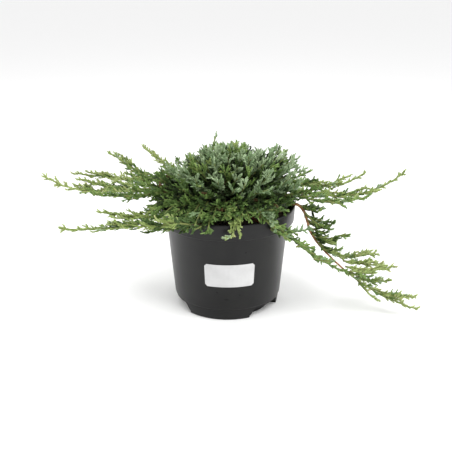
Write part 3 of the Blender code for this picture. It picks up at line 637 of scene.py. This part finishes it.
def bark_limb(points, radii, k=60, sides=12, seed=1.0):
    P = np.array(points, float)
    d = np.concatenate([[0], np.cumsum(np.linalg.norm(np.diff(P, axis=0), axis=1))])
    t = np.linspace(0, d[-1], k)
    X = np.stack([np.interp(t, d, P[:, i]) for i in range(3)], 1)
    for _ in range(3):
        X[1:-1] = (X[:-2] + 2 * X[1:-1] + X[2:]) / 4
    R = np.interp(t, d if len(radii) == len(P) else np.linspace(0, d[-1], len(radii)), radii)
    T, Aa, Bb = frames(X[None])
    ang = np.arange(sides) * math.tau / sides
    rel_ = (1 + 0.09 * np.sin(3 * ang[None] + t[:, None] * 0.35 + seed) + 0.07 * np.sin(5 * ang[None] - t[:, None] * 0.9)
            + 0.05 * np.sin(9 * ang[None] + t[:, None] * 2.1 + seed))
    V = X[:, None] + (R[:, None] * rel_)[..., None] * (np.cos(ang)[None, :, None] * Aa[0][:, None] + np.sin(ang)[None, :, None] * Bb[0][:, None])
    V = V.reshape(-1, 3)
    F = []
    for i in range(k - 1):
        for j in range(sides):
            a, b = i * sides + j, i * sides + (j + 1) % sides
            F += [(a, b, b + sides), (a, b + sides, a + sides)]
    V = np.concatenate([V, X[:1], X[-1:]])
    for j in range(sides):
        F.append((len(V) - 2, (j + 1) % sides, j))
        F.append((len(V) - 1, (k - 1) * sides + j, (k - 1) * sides + (j + 1) % sides))
    return V, np.array(F)


V, F, off = [], [], 0
def put(vf):
    global off
    V.append(vf[0]); F.append(vf[1] + off); off += len(vf[0])


put(bark_limb([(0, 0, 132.8), (0, 0.1, 134.8), (0, 0.3, 138), (0, 1, 143), (0, 2, 149), (0, 2, 152)],
              [11, 9.4, 7.3, 6.6, 7.2, 4.0], k=40, sides=22))
stem = mesh_piece("stem_bark", np.concatenate(V) * MM, np.concatenate(F), [bark], np.zeros(len(np.concatenate(F)), int), True)
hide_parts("stem")
V, F, off = [], [], 0
for i, az in enumerate((0, 45, 90, 135, 180, -135, -90, -45)):
    e = dome(np.array([az]), np.array([-4.0]))[0]
    a, b = STEM_HEAD + (e - STEM_HEAD) * 0.02, e
    pts = [a + (b - a) * s + np.array([0, 0, 5 * math.sin(math.pi * s)]) for s in np.linspace(0, 0.62, 9)]
    for p in pts:
        p[2] = max(p[2], 140)
    put(bark_limb(pts, np.linspace(3.6, 2.0, 9), k=40, sides=10, seed=i * 1.7))
put(bark_limb([STEM_HEAD, STEM_HEAD + np.array([0, 2, 18]), STEM_HEAD + np.array([-2, 4, 40])], [3.4, 2.8, 1.9], k=24, sides=10))
boughs = mesh_piece("boughs_bark", np.concatenate(V) * MM, np.concatenate(F), [bark], np.zeros(len(np.concatenate(F)), int), True)
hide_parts(*[n for n in NODES if n.startswith("bough_") and "rim" not in n and "hanging" not in n])
bark2 = noisy("bark_tan", [srgb(84, 54, 34), srgb(128, 88, 54), srgb(172, 134, 90)], 320, (0.7, 0.9), 0.7, 900, (1, 1, 0.35))
leader = list(shoot_curve(AXES["low_leader"], np.linspace(0.06, 0.6, 8)))
pts = [polar(a, r, z) for a, r, z, _ in RIM] + leader
vf = bark_limb(pts, [0.66 * r[3] for r in RIM] + list(np.linspace(1.1, 0.6, 8)), k=150, sides=12)
rim = mesh_piece("bough_over_rim_bark", vf[0] * MM, vf[1], [bark2], np.zeros(len(vf[1]), int), True)
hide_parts("bough_right_rim", "bough_right_hanging")

# ------------------------------------------------------------------------ pot
black = noisy("pot_plastic", [srgb(8, 8, 8), srgb(12, 12, 12), srgb(18, 18, 17)], 38, (0.30, 0.42), 0.15, 700, (1, 1, 1), 0.26)
soil_mat = noisy("potting_mix", [srgb(28, 21, 15), srgb(52, 38, 27), srgb(84, 64, 46)], 240, (0.85, 1.0), 1.0, 900)
paper = noisy("label_film", [srgb(180, 180, 180), srgb(187, 187, 187), srgb(193, 193, 193)], 60, (0.42, 0.55), 0.1, 500)


# a finer copy of the pot: the same turned wall, arches and drain holes with many more sides
def turned(name, profile, segments):
    me = bpy.data.meshes.new(name)
    me.from_pydata([(r * MM, 0.0, z * MM) for r, z in profile], [(i, i + 1) for i in range(len(profile) - 1)], [])
    o = bpy.data.objects.new(name, me)
    coll.objects.link(o)
    s = o.modifiers.new("turn", "SCREW")
    s.angle = math.tau
    s.steps = s.render_steps = segments
    s.use_merge_vertices = True
    s.merge_threshold = 0.00001
    s.use_smooth_shade = False
    return o


def notch(name, grow):
    bm = bmesh.new()
    bmesh.ops.create_cube(bm, size=1.0)
    es = [e for e in bm.edges if abs((e.verts[0].co - e.verts[1].co).normalized().x) > 0.9]
    bmesh.ops.subdivide_edges(bm, edges=es, cuts=31, use_grid_fill=True)
    half = 49.5 / 2 + math.degrees(grow / 72.4)
    for v in bm.verts:
        a = v.co.x * 2 * half
        ramp = max(0.0, min(1.0, (half - abs(a)) / 7.0))
        high = 3.2 + 10.3 * (ramp * ramp * (3 - 2 * ramp)) + grow
        r = 61.0 - grow if v.co.y < 0 else 88.9
        z = -4.0 if v.co.z < 0 else high
        q = math.radians(a)
        v.co = Vector((r * math.sin(q), -r * math.cos(q), z)) * MM
    bmesh.ops.triangulate(bm, faces=bm.faces, quad_method="FIXED")
    if bm.calc_volume(signed=True) < 0:
        bmesh.ops.reverse_faces(bm, faces=bm.faces)
    me = bpy.data.meshes.new(name)
    bm.to_mesh(me)
    bm.free()
    o = bpy.data.objects.new(name, me)
    coll.objects.link(o)
    return o


def cut_with(o, tool, how="DIFFERENCE"):
    b = o.modifiers.new(tool.name, "BOOLEAN")
    b.operation, b.solver, b.object = how, "EXACT", tool


def finished(o):
    deps = bpy.context.evaluated_depsgraph_get()
    deps.update()
    me = bpy.data.meshes.new_from_object(o.evaluated_get(deps))
    o.modifiers.clear()
    o.data = me
    return o


TOP, LOW = 147.2, 125.5
POT = [(0.0, 2.0), (70.6, 2.0), (73.3, 17.0), (84.1, LOW - 1.0), (91.9, LOW + 1.2), (92.4, TOP - 3.4), (92.4, TOP - 0.6),
       (92.7, TOP - 0.15), (93.2, TOP), (94.1, TOP), (94.7, TOP - 0.3), (95.0, TOP - 0.9), (95.0, TOP - 2.6), (94.85, TOP - 3.6),
       (93.95, LOW + 0.6), (93.75, LOW + 0.1), (93.2, LOW - 0.4), (92.7, LOW - 0.8), (86.9, LOW - 1.3), (86.2, LOW - 1.7), (85.7, LOW - 2.8),
       (75.95, 17.4), (75.75, 16.9), (75.0, 16.2), (74.85, 15.4), (72.6, 0.9), (72.2, 0.25), (71.6, 0.0), (0.0, 0.0)]
pot = finished(turned("pot_wall", POT, 150))
tools = []
for i in range(3):
    turn = math.radians(49.6 + 120 * i)
    shell, limit, cut = notch(f"t_shell{i}", 1.6), turned(f"t_limit{i}", [(0, 40.0), (74.5, 40.0), (74.5, 15.8), (71.8, 0.4), (0, 0.4)], 150), notch(f"t_cut{i}", 0.0)
    shell.rotation_euler.z = cut.rotation_euler.z = turn
    cut_with(shell, limit, "INTERSECT")
    cut_with(pot, shell, "UNION")
    cut_with(pot, cut)
    bm = bmesh.new()
    bmesh.ops.create_cone(bm, cap_ends=True, segments=28, radius1=4.6 * MM, radius2=4.6 * MM, depth=5 * MM)
    me = bpy.data.meshes.new("t_hole")
    bm.to_mesh(me)
    bm.free()
    hole = bpy.data.objects.new(f"t_hole{i}", me)
    coll.objects.link(hole)
    q = math.radians(44.6 + 120 * i)
    hole.location = Vector((67.6 * math.sin(q), -67.6 * math.cos(q), 14.5)) * MM
    cut_with(pot, hole)
    tools += [shell, limit, cut, hole]
pot = finished(pot)
for o in tools:
    bpy.data.objects.remove(o, do_unlink=True)
pot.data.materials.clear()
bm = bmesh.new()
for az, z, w, h in ((-0.9, 33.0, 3.4, 1.1), (-10.6, 43.5, 1.3, 1.2), (12.6, 39.5, 1.3, 1.2), (17.0, 104.0, 1.2, 1.8)):
    r = 75.9 + 9.8 * (z - 17.0) / 108.5
    made_ = bmesh.ops.create_icosphere(bm, subdivisions=3, radius=1.0)
    q = math.radians(az)
    for v in made_["verts"]:
        x, y, zz = v.co.x * w, v.co.y * 0.35, v.co.z * h
        wob = 1 + 0.18 * math.sin(5 * v.co.x + 3 * v.co.z + az)
        v.co = Vector((((r + y) * math.sin(q) + x * math.cos(q) * wob), -(r + y) * math.cos(q) + x * math.sin(q) * wob, z + zz * wob)) * MM
me = bpy.data.meshes.new("pot_marks")
bm.to_mesh(me)
bm.free()
marks = bpy.data.objects.new("pot_marks", me)
coll.objects.link(marks)
me.shade_smooth()
me.materials.append(noisy("pot_marks", [srgb(4, 4, 4), srgb(8, 8, 8), srgb(12, 12, 12)], 300, (0.4, 0.6), 0.2, 900, (1, 1, 1), 0.2))
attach(marks, "root")
pot.data.materials.append(black)
pot.data.shade_smooth()
pot.data.set_sharp_from_angle(angle=math.radians(32))
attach(pot, "root")
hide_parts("pot")

for node, m in (("soil", soil_mat), ("label", paper)):
    o = frame["nodes"][node] if isinstance(frame["nodes"], dict) else bpy.data.objects[node]
    for i in range(max(1, len(o.material_slots))):
        if len(o.material_slots):
            o.material_slots[i].material = m
        else:
            o.data.materials.append(m)

# ---------------------------------------------------------- floor, light, camera
me = bpy.data.meshes.new("floor")
me.from_pydata([(-6, -3, 0), (6, -3, 0), (6, 9, 0), (-6, 9, 0)], [], [(0, 1, 2, 3)])
floor = bpy.data.objects.new("floor", me)
coll.objects.link(floor)
floor.location.z = -0.0004
me.materials.append(plain("floor_white", (0.93, 0.93, 0.93, 1), 0.95))

world = bpy.context.scene.world or bpy.data.worlds.new("studio")
bpy.context.scene.world = world
world.use_nodes = True
world.node_tree.nodes["Background"].inputs["Color"].default_value = (1, 1, 1, 1)
world.node_tree.nodes["Background"].inputs["Strength"].default_value = 0.97


def area(name, loc, target, size, power):
    d = bpy.data.lights.new(name, "AREA")
    d.shape = "DISK"
    d.size = size
    d.energy = power
    o = bpy.data.objects.new(name, d)
    coll.objects.link(o)
    o.location = loc
    o.rotation_euler = (Vector(target) - Vector(loc)).to_track_quat("-Z", "Y").to_euler()


area("key", (0.45, -0.8, 1.5), (0, 0, 0.15), 0.8, 13)
area("top", (-0.5, 0.1, 1.5), (0, 0, 0.15), 0.9, 10)
for x, w in ((-1.15, 3.2), (1.2, 6.5)):
    area("strip_left" if x < 0 else "strip_right", (x, -0.35, 0.42), (0, 0, 0.09), 0.45, w)
cam_d = bpy.data.cameras.new("camera")
cam_d.sensor_width = 36.0
cam_d.lens = 713.0 / 452.0 * 36.0
cam_d.shift_x = -1.5 / 452.0
cam = bpy.data.objects.new("camera", cam_d)
coll.objects.link(cam)
cam.location = (0.0, -0.95, 0.4685)
cam.rotation_euler = (math.pi / 2 - 0.3595, 0, 0)
bpy.context.scene.camera = cam
bpy.context.scene.view_settings.view_transform = "Standard"
